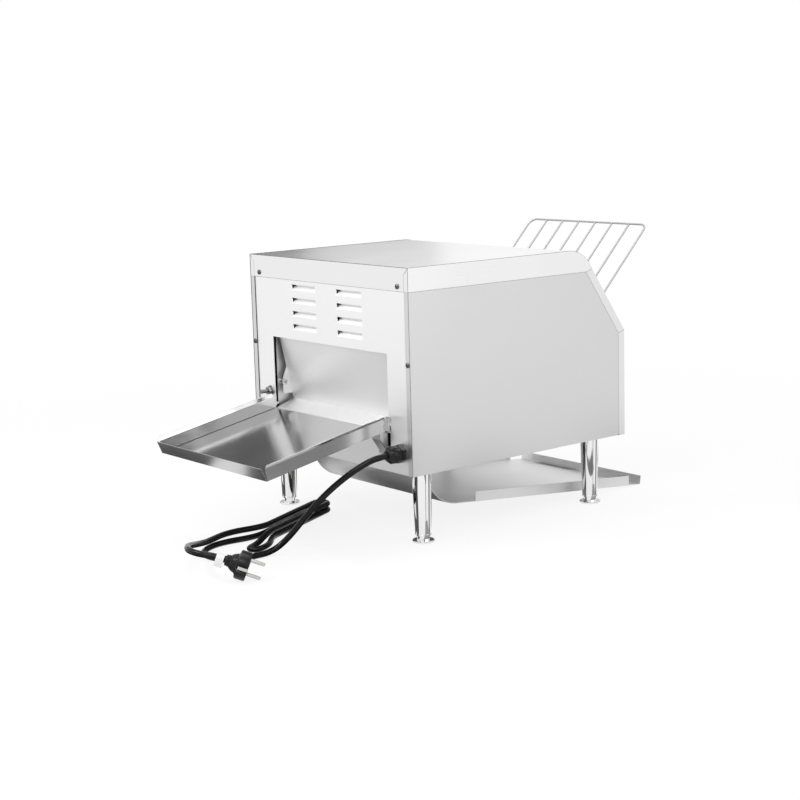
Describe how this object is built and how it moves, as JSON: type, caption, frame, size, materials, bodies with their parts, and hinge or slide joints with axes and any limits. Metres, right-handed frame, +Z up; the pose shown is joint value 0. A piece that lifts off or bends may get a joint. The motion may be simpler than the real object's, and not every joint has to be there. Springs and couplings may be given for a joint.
{
  "type": "conveyor toaster",
  "caption": "Countertop conveyor toaster in brushed stainless steel with slanted feed front, wire loading rack, rear and front trays, chrome legs and a coiled cord.",
  "frame": {"origin": "centre of the toaster's box at counter level, the cord left out", "axes": "+Z up, +Y towards the toaster's back, +X to the right of someone who faces its slanted front"},
  "size_m": [0.37, 0.8167, 0.4022],
  "materials": {
    "brushed_steel": "satin brushed",
    "polished_steel": "polished",
    "wire_steel": "drawn wire",
    "zinc_steel": "zinc plated",
    "quartz": "frosted quartz",
    "ceramic": "unglazed ceramic",
    "black_plastic": "glossy",
    "matte_black": "matte",
    "board_green": "matte",
    "white_plastic": "matte",
    "lamp_red": "glossy",
    "cord_black": "glossy sheath",
    "motor_grey": "painted",
    "pin_metal": "nickel plated"
  },
  "bodies": {
    "toaster": {"top_cover": "brushed_steel", "left_side_panel": "brushed_steel", "right_side_panel": "brushed_steel", "slant_fascia": "brushed_steel", "control_panel": "brushed_steel", "back_panel": "brushed_steel", "casing_screws": "zinc_steel", "bonding_stud": "zinc_steel", "base_plate": "brushed_steel", "leg_rear_left": "polished_steel", "leg_rear_right": "polished_steel", "leg_front_left": "polished_steel", "leg_front_right": "polished_steel", "left_inner_plate": "brushed_steel", "right_inner_plate": "brushed_steel", "upper_reflector": "brushed_steel", "lower_reflector": "brushed_steel", "drop_chute": "brushed_steel", "rear_deflector": "brushed_steel", "deflector_screws": "zinc_steel", "upper_elements": "quartz", "upper_element_holders": "ceramic", "lower_elements": "quartz", "lower_element_holders": "ceramic", "conveyor_belt": "wire_steel", "shaft_bushes": "zinc_steel", "drive_chain": "zinc_steel", "gear_motor": "motor_grey", "motor_bracket": "brushed_steel", "fan_frame": "matte_black", "terminal_block": "white_plastic", "control_board": "board_green", "heat_switch": "matte_black", "speed_potentiometer": "motor_grey", "power_lamp": "lamp_red", "tray_brackets": "brushed_steel", "front_tray_hangers": "brushed_steel", "cord_gland": "black_plastic", "cord_hank": "cord_black", "cord_lead": "cord_black", "plug_body": "black_plastic", "plug_pins": "pin_metal", "cord_tie": "white_plastic", "cord_tail": "cord_black"},
    "drive": {"drive_shaft": "zinc_steel", "drive_sprockets": "zinc_steel", "chain_wheel": "zinc_steel"},
    "idler": {"idler_shaft": "zinc_steel", "idler_sprockets": "zinc_steel"},
    "motor": {"motor_sprocket": "zinc_steel"},
    "fan": {"fan_rotor": "matte_black"},
    "heat": {"heat_knob": "matte_black"},
    "speed": {"speed_knob": "matte_black"},
    "rear_tray": {"rear_tray": "brushed_steel"},
    "front_tray": {"front_tray": "brushed_steel"},
    "rack": {"loading_rack": "wire_steel"},
    "foot_rear_left": {"foot_rear_left": "polished_steel"},
    "foot_rear_right": {"foot_rear_right": "polished_steel"},
    "foot_front_left": {"foot_front_left": "polished_steel"},
    "foot_front_right": {"foot_front_right": "polished_steel"}
  },
  "joints": [
    {"name": "drive_spin", "type": "hinge", "parent": "toaster", "child": "drive", "pos_m": [0, 0.07885, 0.205], "axis": [1, 0, 0], "continuous": true},
    {"name": "idler_spin", "type": "hinge", "parent": "toaster", "child": "idler", "pos_m": [0, -0.18918, 0.23222], "axis": [1, 0, 0], "continuous": true},
    {"name": "motor_spin", "type": "hinge", "parent": "toaster", "child": "motor", "pos_m": [0.15, -0.08657, 0.13984], "axis": [1, 0, 0], "continuous": true},
    {"name": "fan_spin", "type": "hinge", "parent": "toaster", "child": "fan", "pos_m": [-0.062, -0.12815, 0.11], "axis": [0, 0, 1], "continuous": true},
    {"name": "heat_turn", "type": "hinge", "parent": "toaster", "child": "heat", "pos_m": [0.095, -0.24915, 0.17], "axis": [0, -1, 0], "range_deg": [-270, 0]},
    {"name": "speed_turn", "type": "hinge", "parent": "toaster", "child": "speed", "pos_m": [-0.095, -0.24915, 0.17], "axis": [0, -1, 0], "range_deg": [-270, 0]},
    {"name": "foot_turn_rear_left", "type": "hinge", "parent": "toaster", "child": "foot_rear_left", "pos_m": [-0.159, 0.12086, 0], "axis": [0, 0, 1], "range_deg": [-180, 180]},
    {"name": "foot_turn_rear_right", "type": "hinge", "parent": "toaster", "child": "foot_rear_right", "pos_m": [0.159, 0.12086, 0], "axis": [0, 0, 1], "range_deg": [-180, 180]},
    {"name": "foot_turn_front_left", "type": "hinge", "parent": "toaster", "child": "foot_front_left", "pos_m": [-0.159, -0.20114, 0], "axis": [0, 0, 1], "range_deg": [-180, 180]},
    {"name": "foot_turn_front_right", "type": "hinge", "parent": "toaster", "child": "foot_front_right", "pos_m": [0.159, -0.20114, 0], "axis": [0, 0, 1], "range_deg": [-180, 180]},
    {"name": "rear_tray_lift", "type": "slide", "parent": "toaster", "child": "rear_tray", "axis": [0, 0, 1], "range_m": [0, 0.012]},
    {"name": "front_tray_slide", "type": "slide", "parent": "toaster", "child": "front_tray", "axis": [0, -1, 0], "range_m": [0, 0.18]},
    {"name": "rack_lift", "type": "slide", "parent": "toaster", "child": "rack", "axis": [0, 0.5678, 0.8231], "range_m": [0, 0.02]}
  ],
  "couplings": [
    {"joint": "idler_spin", "follows": "drive_spin", "ratio": 1},
    {"joint": "motor_spin", "follows": "drive_spin", "ratio": 1}
  ]
}
